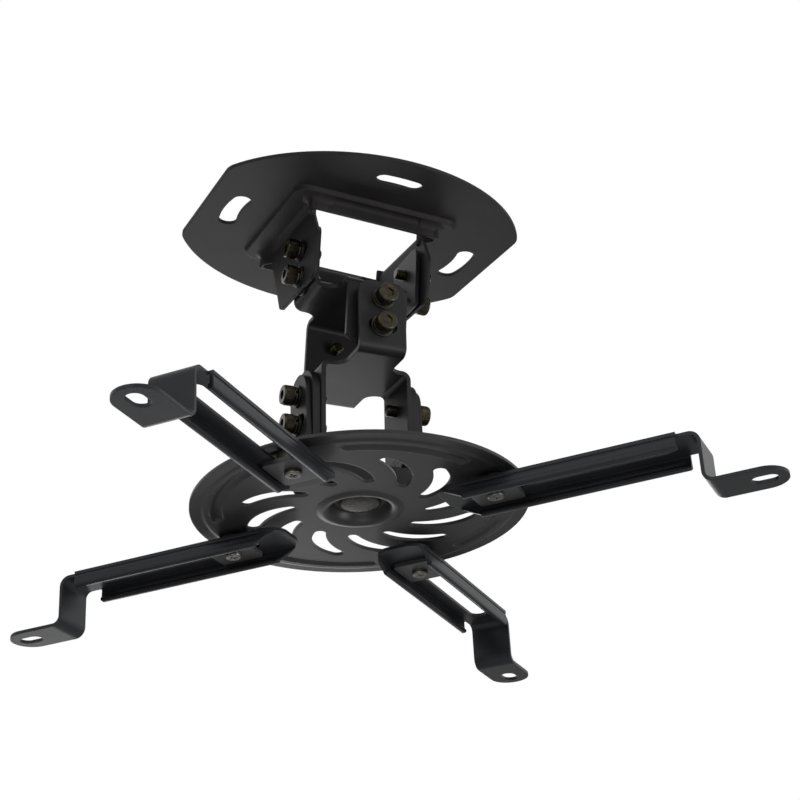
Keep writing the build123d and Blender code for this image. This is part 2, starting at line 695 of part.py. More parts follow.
upper_reach = ear_outer_x - upper_ear_x + bracket_sheet + bolt_tip
middle_reach = flange_outer_y - upper_leg_y + bracket_sheet + bolt_tip
lower_reach = yoke_ear_outer_x - lower_ear_outer_x + bracket_sheet + bolt_tip
joints = {
    "upper": (upper_stage, ear_outer_x, (("pivot", 0.0), ("slot", bolt_pitch)), True, ("left", "right"), upper_reach),
    "middle": (upper_stage, flange_outer_y, (("pivot", middle_z), ("slot", middle_z - bolt_pitch)), False, ("front", "back"), middle_reach),
    "lower": (lower_stage, yoke_ear_outer_x, (("pivot", 0.0), ("slot", -bolt_pitch)), True, ("left", "right"), lower_reach),
}
for joint, (stage, face, heights, across_x, sides, reach) in joints.items():
    seats = {}
    for sign, side_name in zip((-1, 1), sides):
        for place, height in heights:
            seats[f"{joint}_bolt_{side_name}_{place}"] = seat(stage, sign * face, height, across_x)
    for name, place in seats.items():
        with BuildPart() as bolt:
            with BuildSketch(place.offset(bolt_stack)):
                Circle(bolt_head_r)
            extrude(amount=bolt_head_h)
            rim = bolt.edges().filter_by(GeomType.CIRCLE).sort_by(Axis(place.origin, place.z_dir))
            fillet(rim[-1], 0.5)
            with BuildSketch(place.offset(bolt_stack + bolt_head_h)):
                RegularPolygon(socket_flats / 2, 6, major_radius=False)
            extrude(amount=-socket_depth, mode=Mode.SUBTRACT)
            with BuildSketch(place.offset(bolt_stack)):
                Circle(bolt_r)
            extrude(amount=-(bolt_stack + reach))
            tip = bolt.edges().filter_by(GeomType.CIRCLE).sort_by(Axis(place.origin, place.z_dir))
            chamfer(tip[0], 0.5)
        write(bolt.part, name)
    with BuildPart() as washers:
        with BuildSketch(*[place.offset(joint_gap) for place in seats.values()]):
            Circle(washer_r)
            Circle(bolt_r + bolt_fit, mode=Mode.SUBTRACT)
        extrude(amount=washer_t)
    write(washers.part, f"{joint}_washers")
    with BuildPart() as spring_washers:
        with BuildSketch(*[place.offset(joint_gap + washer_t) for place in seats.values()]):
            Circle(spring_washer_r)
            Circle(bolt_r + bolt_fit, mode=Mode.SUBTRACT)
        extrude(amount=spring_washer_t)
    write(spring_washers.part, f"{joint}_spring_washers")
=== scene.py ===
import json
from math import cos, pi, radians, sin, sqrt

import bmesh
import bpy
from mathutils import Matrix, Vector


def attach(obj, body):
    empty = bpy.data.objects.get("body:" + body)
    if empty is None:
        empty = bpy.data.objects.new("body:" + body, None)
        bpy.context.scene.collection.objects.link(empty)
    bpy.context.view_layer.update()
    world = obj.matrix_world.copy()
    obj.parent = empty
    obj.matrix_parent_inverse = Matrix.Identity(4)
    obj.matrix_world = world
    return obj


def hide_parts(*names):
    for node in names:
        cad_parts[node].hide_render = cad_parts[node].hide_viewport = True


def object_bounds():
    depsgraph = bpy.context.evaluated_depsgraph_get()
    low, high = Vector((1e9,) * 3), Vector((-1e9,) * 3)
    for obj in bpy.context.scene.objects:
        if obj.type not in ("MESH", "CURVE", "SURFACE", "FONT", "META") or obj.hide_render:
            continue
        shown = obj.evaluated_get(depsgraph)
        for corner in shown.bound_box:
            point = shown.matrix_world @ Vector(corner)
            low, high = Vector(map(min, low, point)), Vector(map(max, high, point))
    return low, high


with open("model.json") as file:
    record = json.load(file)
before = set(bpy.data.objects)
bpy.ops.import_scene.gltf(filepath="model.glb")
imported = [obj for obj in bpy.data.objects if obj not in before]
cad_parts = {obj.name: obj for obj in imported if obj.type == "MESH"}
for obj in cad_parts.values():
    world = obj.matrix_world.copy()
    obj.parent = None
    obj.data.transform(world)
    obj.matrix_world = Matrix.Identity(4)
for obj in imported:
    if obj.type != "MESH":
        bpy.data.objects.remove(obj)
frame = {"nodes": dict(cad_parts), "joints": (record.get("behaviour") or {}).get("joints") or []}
cad_low, cad_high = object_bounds()

# Camera: it stands low, in front of the mount and to its left, and looks up as someone in
# the room does. Its long lens keeps the nearest arm from looming over the others.
camera = bpy.data.objects.new("camera", bpy.data.cameras.new("camera"))
camera.data.sensor_width = 36
camera.data.lens = 78.13
camera.location = (-0.24594, -0.68988, -0.36392)
camera.rotation_euler = [radians(turn) for turn in (111.166, -3.371, -23.208)]
bpy.context.scene.collection.objects.link(camera)
bpy.context.scene.camera = camera
bpy.context.scene.view_settings.view_transform = "Standard"


# Studio: a pale matt floor a metre below the hanging mount, and a plain white room round it.
# The room shows white to the camera and in reflections, and lights everything else softly.
# The floor shows paler to the camera than its light makes it, and keeps its shadows.
def math_node(tree, operation, second=None, kind="ShaderNodeMath"):
    """A Math or Vector Math node of a tree, with its second value where that is a constant."""
    node = tree.nodes.new(kind)
    node.operation = operation
    if second is not None:
        node.inputs[1].default_value = second
    return node


floor_drop = 1.0
floor_half = 14.0
floor_lift = 0.42
soft_light = 0.40
floor_z = cad_low.z - floor_drop
floor_corners = [
    (-floor_half, -floor_half, floor_z),
    (floor_half, -floor_half, floor_z),
    (floor_half, floor_half, floor_z),
    (-floor_half, floor_half, floor_z),
]
floor_mesh = bpy.data.meshes.new("studio_floor")
floor_mesh.from_pydata(floor_corners, [], [(0, 1, 2, 3)])
floor = bpy.data.objects.new("studio_floor", floor_mesh)
bpy.context.scene.collection.objects.link(floor)
floor_paint = bpy.data.materials.new("pale_floor")
floor_paint.use_nodes = True
floor_tree = floor_paint.node_tree
paint = floor_tree.nodes["Principled BSDF"]
paint.inputs["Roughness"].default_value = 0.9
paint.inputs["Specular IOR Level"].default_value = 0.1
paint.inputs["Emission Color"].default_value = (1, 1, 1, 1)
spot = floor_tree.nodes.new("ShaderNodeTexCoord")
grain = floor_tree.nodes.new("ShaderNodeTexNoise")
grain.inputs["Scale"].default_value = 60.0
shade = floor_tree.nodes.new("ShaderNodeValToRGB")
shade.color_ramp.elements[0].color = (0.76, 0.76, 0.765, 1)
shade.color_ramp.elements[1].color = (0.80, 0.80, 0.80, 1)
floor_light = floor_tree.nodes.new("ShaderNodeLightPath")
lifted = math_node(floor_tree, "MULTIPLY", floor_lift)
floor_tree.links.new(spot.outputs["Object"], grain.inputs["Vector"])
floor_tree.links.new(grain.outputs["Fac"], shade.inputs["Fac"])
floor_tree.links.new(shade.outputs["Color"], paint.inputs["Base Color"])
floor_tree.links.new(floor_light.outputs["Is Camera Ray"], lifted.inputs[0])
floor_tree.links.new(lifted.outputs["Value"], paint.inputs["Emission Strength"])
floor_mesh.materials.append(floor_paint)

room = bpy.data.worlds.new("white_room")
bpy.context.scene.world = room
room.use_nodes = True
room_tree = room.node_tree
walls = room_tree.nodes["Background"]
walls.inputs["Color"].default_value = (1, 1, 1, 1)
room_light = room_tree.nodes.new("ShaderNodeLightPath")
seen = room_light.outputs["Is Camera Ray"]
for ray in ("Is Glossy Ray", "Is Transmission Ray"):
    either = math_node(room_tree, "MAXIMUM")
    room_tree.links.new(seen, either.inputs[0])
    room_tree.links.new(room_light.outputs[ray], either.inputs[1])
    seen = either.outputs[0]
level = room_tree.nodes.new("ShaderNodeMapRange")
level.inputs["To Min"].default_value = soft_light
level.inputs["To Max"].default_value = 1.0
room_tree.links.new(seen, level.inputs["Value"])
room_tree.links.new(level.outputs["Result"], walls.inputs["Strength"])

# Lamps: four soft boxes. One stands low in front, because the undersides are the bright faces
# of the mount. The strongest is at the right, and those at the left and back draw its folds.
middle = (cad_low + cad_high) / 2
for name, place, size, power in (
    ("low_box", (-0.35, -0.75, -0.85), 0.6, 2.6),
    ("left_box", (-1.2, -0.7, 0.45), 0.5, 1.6),
    ("right_box", (0.85, -1.0, -0.25), 0.5, 10.0),
    ("back_box", (0.2, 1.3, -0.3), 0.8, 5.0),
):
    lamp = bpy.data.objects.new(name, bpy.data.lights.new(name, "AREA"))
    lamp.data.size = size
    lamp.data.energy = power
    lamp.location = place
    lamp.rotation_euler = (middle - Vector(place)).to_track_quat("-Z", "Y").to_euler()
    bpy.context.scene.collection.objects.link(lamp)


# Ceiling plate: 1.5 mm steel sheet, pressed and folded, then powder coated in satin black.
# The coat has a fine orange peel and a faint mottle, and is painted lighter along the sheet's edges,
# partly as wear and partly as a painted highlight.
def scaled(colour, factor):
    """A lighter or darker shade of a colour, opaque."""
    return (*[factor * c for c in colour], 1)


def powder_coat(name, colour, roughness, gloss, sheen, peel_size, soft_edge):
    """Satin black coat; sheen is the tint of its reflection, peel_size one bump of its orange peel,
    and soft_edge the radius to which it rounds the sheet's edges."""
    coat = bpy.data.materials.new(name)
    coat.use_nodes = True
    tree = coat.node_tree
    nodes, links = tree.nodes, tree.links
    shader = nodes["Principled BSDF"]
    shader.inputs["Specular IOR Level"].default_value = gloss
    shader.inputs["Specular Tint"].default_value = (*sheen, 1)
    place = nodes.new("ShaderNodeTexCoord")
    peel = nodes.new("ShaderNodeTexNoise")
    peel.inputs["Scale"].default_value = 1 / peel_size
    peel.inputs["Detail"].default_value = 3.0
    mottle = nodes.new("ShaderNodeTexNoise")
    mottle.inputs["Scale"].default_value = 45.0
    mottle.inputs["Detail"].default_value = 4.0
    rounded = nodes.new("ShaderNodeBevel")
    rounded.samples = 4
    rounded.inputs["Radius"].default_value = soft_edge
    flat = nodes.new("ShaderNodeNewGeometry")
    facing = math_node(tree, "DOT_PRODUCT", kind="ShaderNodeVectorMath")
    edge = nodes.new("ShaderNodeMapRange")
    edge.inputs["From Min"].default_value = 0.99
    edge.inputs["From Max"].default_value = 0.78
    # Lighter edges, partly wear and partly a painted highlight: where the rounded normal turns from the
    # flat one, mottled, the coat's colour is lifted 2.6 times.
    wear_highlight_mask = math_node(tree, "MULTIPLY")
    tint = nodes.new("ShaderNodeValToRGB")
    tint.color_ramp.elements[0].position = 0.3
    tint.color_ramp.elements[0].color = scaled(colour, 0.75)
    tint.color_ramp.elements[1].position = 0.7
    tint.color_ramp.elements[1].color = scaled(colour, 1.25)
    wear_and_highlight = nodes.new("ShaderNodeMix")
    wear_and_highlight.data_type = "RGBA"
    wear_highlight_share, wear_highlight_result = wear_and_highlight.inputs[0], wear_and_highlight.outputs[2]
    whole_coat, worn_highlit_colour = wear_and_highlight.inputs[6], wear_and_highlight.inputs[7]
    # The lifted colour of the edges, partly wear and partly a painted highlight.
    worn_highlit_colour.default_value = scaled(colour, 2.6)
    dull = nodes.new("ShaderNodeMapRange")
    dull.inputs["To Min"].default_value = roughness - 0.04
    dull.inputs["To Max"].default_value = roughness + 0.06
    bump = nodes.new("ShaderNodeBump")
    bump.inputs["Strength"].default_value = 0.22
    bump.inputs["Distance"].default_value = 0.12 * peel_size
    links.new(place.outputs["Object"], peel.inputs["Vector"])
    links.new(place.outputs["Object"], mottle.inputs["Vector"])
    links.new(rounded.outputs["Normal"], facing.inputs[0])
    links.new(flat.outputs["Normal"], facing.inputs[1])
    links.new(facing.outputs["Value"], edge.inputs["Value"])
    links.new(edge.outputs["Result"], wear_highlight_mask.inputs[0])
    links.new(mottle.outputs["Fac"], wear_highlight_mask.inputs[1])
    links.new(mottle.outputs["Fac"], tint.inputs["Fac"])
    links.new(wear_highlight_mask.outputs["Value"], wear_highlight_share)
    links.new(tint.outputs["Color"], whole_coat)
    links.new(wear_highlight_result, shader.inputs["Base Color"])
    links.new(mottle.outputs["Fac"], dull.inputs["Value"])
    links.new(dull.outputs["Result"], shader.inputs["Roughness"])
    links.new(peel.outputs["Fac"], bump.inputs["Height"])
    links.new(rounded.outputs["Normal"], bump.inputs["Normal"])
    links.new(bump.outputs["Normal"], shader.inputs["Normal"])
    return coat


def dress(material, *names):
    """Gives CAD nodes their finish."""
    for name in names:
        for slot in frame["nodes"][name].material_slots:
            slot.material = material


def skinned(name, shells, body, finish, round_again=False):
    """Closed shells, each a row of rings joined side by side, then capped or joined round again."""
    corners, faces = [], []
    for rings in shells:
        first, around = len(corners), len(rings[0])
        for ring in rings:
            corners += ring
        for row in range(len(rings) if round_again else len(rings) - 1):
            this, other = first + row * around, first + (row + 1) % len(rings) * around
            for step in range(around):
                beside = (step + 1) % around
                faces.append((this + step, this + beside, other + beside, other + step))
        if not round_again:
            faces.append(tuple(range(first, first + around)))
            faces.append(tuple(range(len(corners) - around, len(corners))))
    skin = bpy.data.meshes.new(name)
    skin.from_pydata([tuple(corner) for corner in corners], [], faces)
    turned_out = bmesh.new()
    turned_out.from_mesh(skin)
    bmesh.ops.recalc_face_normals(turned_out, faces=turned_out.faces)
    turned_out.to_mesh(skin)
    turned_out.free()
    skin.polygons.foreach_set("use_smooth", [True] * len(skin.polygons))
    skin.set_sharp_from_angle(angle=radians(40))
    skin.materials.append(finish)
    piece = bpy.data.objects.new(name, skin)
    bpy.context.scene.collection.objects.link(piece)
    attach(piece, body)


plate_coat = powder_coat(
    "plate_coat",
    (0.0182, 0.0168, 0.0177),
    roughness=0.55,
    gloss=0.12,
    sheen=(1.0, 0.95, 0.98),
    peel_size=0.0007,
    soft_edge=0.0011,
)
dress(plate_coat, "ceiling_plate")

# Frame corners: the press draws a collar round the plate's mouth, with a rounded corner
# between each lip and ear. Each corner is one swept fold that dives into both of them.
collar_foot = -0.00975
collar_top = -0.0024
floor_under = -0.00345
fillet = 0.0036
fillet_steps = 5
sheet = 0.0015
foot_round, foot_in, foot_up = 0.0005, 0.0003, 0.0001
collar_section = [(fillet, collar_top), (fillet, floor_under)]
for step in range(1, fillet_steps + 1):
    angle = pi / 2 * step / fillet_steps
    collar_section.append((fillet * (1 - sin(angle)), floor_under - fillet * (1 - cos(angle))))
collar_section += [
    (0, collar_foot + foot_round),
    (-foot_in, collar_foot + foot_up),
    (-sheet / 2, collar_foot),
    (foot_in - sheet, collar_foot + foot_up),
    (-sheet, collar_foot + foot_round),
    (-sheet, collar_top),
]

# The fold's line in plan, at the right back corner: out of the ear, round, and into the lip
ear_point, ear_pull = Vector((0.0264, 0.0235)), Vector((0.0264, 0.0285))
turn_middle, turn_r = Vector((0.0278, 0.03265)), 0.0031
turn_start = turn_middle + Vector((turn_r, 0))
turn_pull = turn_start - Vector((0, 0.0042))
lip_y = turn_middle.y + turn_r
lip_x, dive_x, dive = 0.0235, 0.0210, 0.0003
fold_steps = 8
fold_line = []
for step in range(fold_steps + 1):
    t = step / fold_steps
    from_ear = ear_point * (1 - t) ** 3 + ear_pull * (3 * t * (1 - t) ** 2)
    fold_line.append(from_ear + turn_pull * (3 * t**2 * (1 - t)) + turn_start * t**3)
for step in range(1, fold_steps + 1):
    angle = pi / 2 * step / fold_steps
    fold_line.append(turn_middle + Vector((cos(angle), sin(angle))) * turn_r)
fold_line += [Vector((lip_x, lip_y)), Vector((dive_x, lip_y - dive))]
corner_shells = []
for side_x in (-1, 1):
    for side_y in (-1, 1):
        rings = []
        for step, point in enumerate(fold_line):
            after = fold_line[min(step + 1, len(fold_line) - 1)]
            heading = (after - fold_line[max(step - 1, 0)]).normalized()
            out_x, out_y = heading.y, -heading.x
            ring = []
            for d, z in collar_section:
                ring.append((side_x * (point.x + out_x * d), side_y * (point.y + out_y * d), z))
            rings.append(ring)
        corner_shells.append(rings)
skinned("frame_corners", corner_shells, "ceiling", plate_coat)

# Brackets and yoke: folded steel sheet that makes the three tilting joints, with loose spacer
# discs and plates of the same coat between the ears. The coat has more gloss than the plate's.
bracket_coat = powder_coat(
    "bracket_coat",
    (0.0110, 0.0105, 0.0112),
    roughness=0.42,
    gloss=0.22,
    sheen=(1.0, 0.96, 1.0),
    peel_size=0.0006,
    soft_edge=0.0007,
)
dress(bracket_coat, "upper_bracket", "lower_bracket", "swivel_yoke")
dress(bracket_coat, "friction_plate_left", "friction_plate_right")
dress(bracket_coat, *[name for name in frame["nodes"] if name.startswith("spacer_disc")])

# Arm plate: round pressed plate with curled slots and raised beads, turning under the yoke.
# Its coat has more gloss than the brackets' has.
disc_coat = powder_coat(
    "disc_coat",
    (0.0140, 0.0132, 0.0141),
    roughness=0.40,
    gloss=0.32,
    sheen=(1.0, 0.96, 1.0),
    peel_size=0.0007,
    soft_edge=0.0008,
)
dress(disc_coat, "arm_plate")
joints = {joint["name"]: joint for joint in frame["joints"]}
disc_middle = Vector(joints["swivel"]["pos_m"])
disc_up = Vector(joints["swivel"]["axis"])


def on_disc(quarter, x, y, z):
    """A point given from the arm plate's middle, with X along the arm of that quarter."""
    along = Vector(joints[f"arm_{quarter + 1}_slide"]["axis"])
    return disc_middle + along * x + disc_up.cross(along) * y + disc_up * z


# Yoke flange: the yoke's base is turned up along its front edge, between the two ears, which
# stiffens it. It shows dark through the curled slots nearest to the camera.
yoke_pivot = Vector(joints["lower_tilt"]["pos_m"])
yoke_along = Vector(joints["lower_tilt"]["axis"])
yoke_back = disc_up.cross(yoke_along)
base_under = -0.04345
base_inside = -0.0060
flange_front = -0.00985
flange_back = -0.00765
flange_top = -0.0320
top_round, edge_in, edge_drop = 0.0006, 0.00025, 0.00015
bend_top = -0.0405
bend_inside = 0.00045
inner_drop = 0.00005
flange_section = (
    (base_inside, base_under),
    (flange_front, base_under),
    (flange_front, flange_top - top_round),
    (flange_front + edge_in, flange_top - edge_drop),
    ((flange_front + flange_back) / 2, flange_top),
    (flange_back - edge_in, flange_top - edge_drop),
    (flange_back, flange_top - top_round),
    (flange_back, bend_top),
    (flange_back + bend_inside, bend_top - bend_inside),
    (base_inside, bend_top - bend_inside - inner_drop),
)
flange_half = 0.0225
corner_r = 0.0030
half_steps = 12
rings = []
for step in range(-half_steps, half_steps + 1):
    x = flange_half * step / half_steps
    into_corner = min(corner_r, max(0.0, abs(x) - (flange_half - corner_r)))
    lowered = corner_r - sqrt(corner_r**2 - into_corner**2)
    ring = []
    for y, z in flange_section:
        height = z - lowered if z > bend_top else z
        ring.append(yoke_pivot + yoke_along * x + yoke_back * y + disc_up * height)
    rings.append(ring)
skinned("yoke_flange", [rings], "yoke", bracket_coat)

# Beads: the arm plate's four pressed beads are shallow and round inside. The lining of each
# one has that round form, over the plain groove of the plate.
bead_r = 0.061
bead_half_turn = radians(24)
bead_steps = 24
end_steps = 8
between_arms = pi / 4
bead_profile = (
    (0.0024, 0.0019),
    (0.0024, 0.0004),
    (0.0032, 0.0004),
    (0.0032, -0.00002),
    (0.0028, -0.00004),
    (0.0024, 0.00008),
    (0.0019, 0.00042),
    (0.0014, 0.00078),
    (0.0009, 0.00102),
    (0.0004, 0.00112),
)


def bead_outline(quarter, half_width, height):
    """The outline of one bead at a height: two arcs, joined round each end."""
    outline = []
    for outward, start in ((1, -1), (-1, 1)):
        radius = bead_r + outward * half_width
        for step in range(bead_steps + 1):
            angle = between_arms + start * bead_half_turn * (1 - 2 * step / bead_steps)
            outline.append(on_disc(quarter, radius * cos(angle), radius * sin(angle), height))
        end_angle = between_arms - start * bead_half_turn
        for step in range(1, end_steps):
            turn = pi * step / end_steps
            out = bead_r + outward * half_width * cos(turn)
            on = -start * half_width * sin(turn)
            x = out * cos(end_angle) - on * sin(end_angle)
            y = out * sin(end_angle) + on * cos(end_angle)
            outline.append(on_disc(quarter, x, y, height))
    return outline


bead_shells = []
for quarter in range(4):
    bead_shells.append([bead_outline(quarter, half_width, height) for half_width, height in bead_profile])
skinned("bead_linings", bead_shells, "arm_plate_body", disc_coat)


# Hub ring: the sheet rolls down and up again round the hub's bowl, so that the rivet's head
# lies in a soft round well. The ring has that rolled form, over the plain cone of the plate.
def turned(profile):
    """Rings of a form turned about the swivel's axis, from its radii and heights."""
    steps = 72
    rings = []
    for radius, height in profile:
        turns = [2 * pi * step / steps for step in range(steps)]
        rings.append([on_disc(0, radius * cos(turn), radius * sin(turn), height) for turn in turns])
    return rings


hub_profile = (
    (0.0192, 0.0003),
    (0.0190, -0.00003),
    (0.0184, -0.00012),
    (0.0176, -0.00042),
    (0.0168, -0.00070),
    (0.0160, -0.00080),
    (0.0151, -0.00068),
    (0.0142, -0.00035),
    (0.0135, 0.00025),
    (0.0129, 0.0012),
    (0.0123, 0.0024),
    (0.0117, 0.0037),
    (0.0108, 0.00476),
    (0.0111, 0.0049),
)
skinned("hub_ring", [turned(hub_profile)], "arm_plate_body", disc_coat, round_again=True)

# Arms: four slotted steel channels that slide on the arm plate's clamp screws, each ending in
# a step and a flat tab. Their coat has a faint blue cast.
arm_coat = powder_coat(
    "arm_coat",
    (0.0118, 0.0122, 0.0136),
    roughness=0.38,
    gloss=0.24,
    sheen=(0.92, 0.96, 1.0),
    peel_size=0.0008,
    soft_edge=0.0005,
)
dress(arm_coat, *[f"arm_{number}" for number in range(1, 5)])

# Flange lips: the lower edge of each arm's two flanges is rolled a little inward, which
# stiffens it and hides the slot from the side. Each lip wraps the flange's plain edge.
# Reaches run from the arm plate's middle to the holes in the tabs, and the lips' ends are
# measured from there
arm_reaches = (0.1689, 0.1662, 0.1747, 0.1719)
flange_foot = -0.010
lip_section = (
    (0.01178, -0.0080),
    (0.01184, -0.0086),
    (0.01184, -0.0104),
    (0.0116, -0.0108),
    (0.0112, -0.01095),
    (0.0101, -0.01095),
    (0.0097, -0.0108),
    (0.00945, -0.0104),
    (0.00945, -0.0094),
    (0.0097, -0.0089),
    (0.0102, -0.0085),
    (0.0102, -0.0080),
)
lip_start = -0.1212
lip_end = -0.02995
round_end = 0.0009
end_fullness = ((0.0, 0.0), (0.15, 0.5), (0.5, 0.85), (1.0, 1.0))
lip_stations = [(lip_start + share * round_end, fullness) for share, fullness in end_fullness]
lip_stations += [(lip_end - share * round_end, fullness) for share, fullness in reversed(end_fullness)]
for quarter, reach in enumerate(arm_reaches):
    shells = []
    for side in (-1, 1):
        rings = []
        for place, fullness in lip_stations:
            ring = []
            for y, z in lip_section:
                depth = z if z > flange_foot else flange_foot + fullness * (z - flange_foot)
                ring.append(on_disc(quarter, reach + place, side * y, depth))
            rings.append(ring)
        shells.append(rings)
    skinned(f"flange_lips_{quarter + 1}", shells, f"arm_{quarter + 1}_body", arm_coat)


# Joint screws: twelve M5 socket cap screws in black oxide steel, four at each tilting joint.
# The head's side is knurled, and the thread shows where the tip comes through the bracket.
def oiled_steel(name, colour, roughness, scale):
    """Dark bare steel with a thin oil film: faint brown patches and fine turning marks."""
    steel = bpy.data.materials.new(name)
    steel.use_nodes = True
    nodes, links = steel.node_tree.nodes, steel.node_tree.links
    shader = nodes["Principled BSDF"]
    shader.inputs["Metallic"].default_value = 0.85
    place = nodes.new("ShaderNodeTexCoord")
    patches = nodes.new("ShaderNodeTexNoise")
    patches.inputs["Scale"].default_value = scale
    patches.inputs["Detail"].default_value = 5.0
    marks = nodes.new("ShaderNodeTexNoise")
    marks.inputs["Scale"].default_value = 12 * scale
    tint = nodes.new("ShaderNodeValToRGB")
    tint.color_ramp.elements[0].position = 0.35
    tint.color_ramp.elements[0].color = scaled(colour, 0.7)
    tint.color_ramp.elements[1].position = 0.68
    tint.color_ramp.elements[1].color = (1.5 * colour[0], 1.35 * colour[1], 1.1 * colour[2], 1)
    dull = nodes.new("ShaderNodeMapRange")
    dull.inputs["To Min"].default_value = roughness - 0.08
    dull.inputs["To Max"].default_value = roughness + 0.12
    rounded = nodes.new("ShaderNodeBevel")
    rounded.samples = 4
    rounded.inputs["Radius"].default_value = 0.0003
    bump = nodes.new("ShaderNodeBump")
    bump.inputs["Strength"].default_value = 0.15
    bump.inputs["Distance"].default_value = 0.00003
    for noise in (patches, marks):
        links.new(place.outputs["Object"], noise.inputs["Vector"])
    links.new(patches.outputs["Fac"], tint.inputs["Fac"])
    links.new(tint.outputs["Color"], shader.inputs["Base Color"])
    links.new(patches.outputs["Fac"], dull.inputs["Value"])
    links.new(dull.outputs["Result"], shader.inputs["Roughness"])
    links.new(marks.outputs["Fac"], bump.inputs["Height"])
    links.new(rounded.outputs["Normal"], bump.inputs["Normal"])
    links.new(bump.outputs["Normal"], shader.inputs["Normal"])
    return steel


def socket(tree, name, kind, value=None):
    """Adds a named input to a Geometry Nodes tree."""
    made = tree.interface.new_socket(name, in_out="INPUT", socket_type=kind)
    if value is not None:
        made.default_value = value


def repeat_tree(name, sizes):
    """A tree that repeats one shape at every point given, and the nodes that start and end it."""
    tree = bpy.data.node_groups.new(name, "GeometryNodeTree")
    socket(tree, "Places", "NodeSocketGeometry")
    for label, value in sizes.items():
        kind = "NodeSocketInt" if isinstance(value, int) else "NodeSocketFloat"
        socket(tree, label, kind, value)
    socket(tree, "Finish", "NodeSocketMaterial")
    tree.interface.new_socket("Shapes", in_out="OUTPUT", socket_type="NodeSocketGeometry")
    entry = tree.nodes.new("NodeGroupInput")
    turns = tree.nodes.new("GeometryNodeInputNamedAttribute")
    turns.data_type = "FLOAT_VECTOR"
    turns.inputs["Name"].default_value = "turn"
    to_turn = tree.nodes.new("FunctionNodeEulerToRotation")
    copies = tree.nodes.new("GeometryNodeInstanceOnPoints")
    real = tree.nodes.new("GeometryNodeRealizeInstances")
    finish = tree.nodes.new("GeometryNodeSetMaterial")
    leave = tree.nodes.new("NodeGroupOutput")
    tree.links.new(entry.outputs["Places"], copies.inputs["Points"])
    tree.links.new(turns.outputs["Attribute"], to_turn.inputs["Euler"])
    tree.links.new(to_turn.outputs["Rotation"], copies.inputs["Rotation"])
    tree.links.new(copies.outputs["Instances"], real.inputs["Geometry"])
    tree.links.new(real.outputs["Geometry"], finish.inputs["Geometry"])
    tree.links.new(entry.outputs["Finish"], finish.inputs["Material"])
    tree.links.new(finish.outputs["Geometry"], leave.inputs["Shapes"])
    return tree, entry, copies


def out_of(node, axis):
    """Where a screw ends, going out along its axis, how it is turned, and its length."""
    turn = axis.to_track_quat("Z", "Y").to_matrix()
    local = [turn.transposed() @ vertex.co for vertex in frame["nodes"][node].data.vertices]
    low = [min(point[k] for point in local) for k in range(3)]
    high = [max(point[k] for point in local) for k in range(3)]
    end = turn @ Vector(((low[0] + high[0]) / 2, (low[1] + high[1]) / 2, high[2]))
    return end, turn.to_euler(), high[2] - low[2]


def repeated(name, tree, places, sizes, finish, body):
    """Bakes a tree over its places into one plain mesh that rides on a body."""
    points = bpy.data.meshes.new(name)
    points.from_pydata([end for end, turn in places], [], [])
    turns = points.attributes.new("turn", "FLOAT_VECTOR", "POINT")
    turns.data.foreach_set("vector", [angle for end, turn in places for angle in turn])
    seed = bpy.data.objects.new(name, points)
    bpy.context.scene.collection.objects.link(seed)
    maker = seed.modifiers.new("repeat", "NODES")
    maker.node_group = tree
    for item in tree.interface.items_tree:
        if item.in_out == "INPUT" and item.name in sizes:
            maker[item.identifier] = sizes[item.name]
        if item.in_out == "INPUT" and item.name == "Finish":
            maker[item.identifier] = finish
    bpy.context.view_layer.update()
    shaped = seed.evaluated_get(bpy.context.evaluated_depsgraph_get())
    baked = bpy.data.meshes.new_from_object(shaped)
    seed.modifiers.remove(maker)
    seed.data = baked
    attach(seed, body)
    return seed


screw_steel = oiled_steel("screw_steel", (0.034, 0.031, 0.022), 0.20, 320.0)
across = {
    "upper": Vector(joints["upper_tilt"]["axis"]),
    "middle": Vector(joints["middle_roll"]["axis"]),
    "lower": Vector(joints["lower_tilt"]["axis"]),
}
ways_out = {"left": -1, "right": 1, "front": -1, "back": 1}
screw_bodies = {"upper_bracket_body": ("upper", "middle"), "lower_bracket_body": ("lower",)}


def joint_screws(group):
    """Each screw of a joint: its node, outward axis, head's end, turn and length."""
    for way, sign in ways_out.items():
        for hole in ("pivot", "slot"):
            screw = f"{group}_bolt_{way}_{hole}"
            if screw in frame["nodes"]:
                outward = sign * across[group]
                yield screw, outward, *out_of(screw, outward)


# Knurl of the heads: a sleeve of upright ridges round each head, below its rounded rim
knurl_sizes = {"Ridges": 40, "Head radius": 0.0043, "Ridge height": 0.00016, "Band": 0.0036, "Rim": 0.0008}
knurl_tree, entry, copies = repeat_tree("knurled_heads", knurl_sizes)
links = knurl_tree.links
sides = math_node(knurl_tree, "MULTIPLY", 2)
sleeve = knurl_tree.nodes.new("GeometryNodeMeshCylinder")
corner_number = knurl_tree.nodes.new("GeometryNodeInputIndex")
crest = math_node(knurl_tree, "MODULO", 2)
rise = math_node(knurl_tree, "MULTIPLY")
corner_spot = knurl_tree.nodes.new("GeometryNodeInputPosition")
level_out = math_node(knurl_tree, "MULTIPLY", (1, 1, 0), kind="ShaderNodeVectorMath")
outward = math_node(knurl_tree, "NORMALIZE", kind="ShaderNodeVectorMath")
push = math_node(knurl_tree, "SCALE", kind="ShaderNodeVectorMath")
ridged = knurl_tree.nodes.new("GeometryNodeSetPosition")
half_band = math_node(knurl_tree, "MULTIPLY_ADD", 0.5)
down = math_node(knurl_tree, "MULTIPLY", -1)
drop = knurl_tree.nodes.new("ShaderNodeCombineXYZ")
seated = knurl_tree.nodes.new("GeometryNodeTransform")
links.new(entry.outputs["Ridges"], sides.inputs[0])
links.new(sides.outputs[0], sleeve.inputs["Vertices"])
links.new(entry.outputs["Head radius"], sleeve.inputs["Radius"])
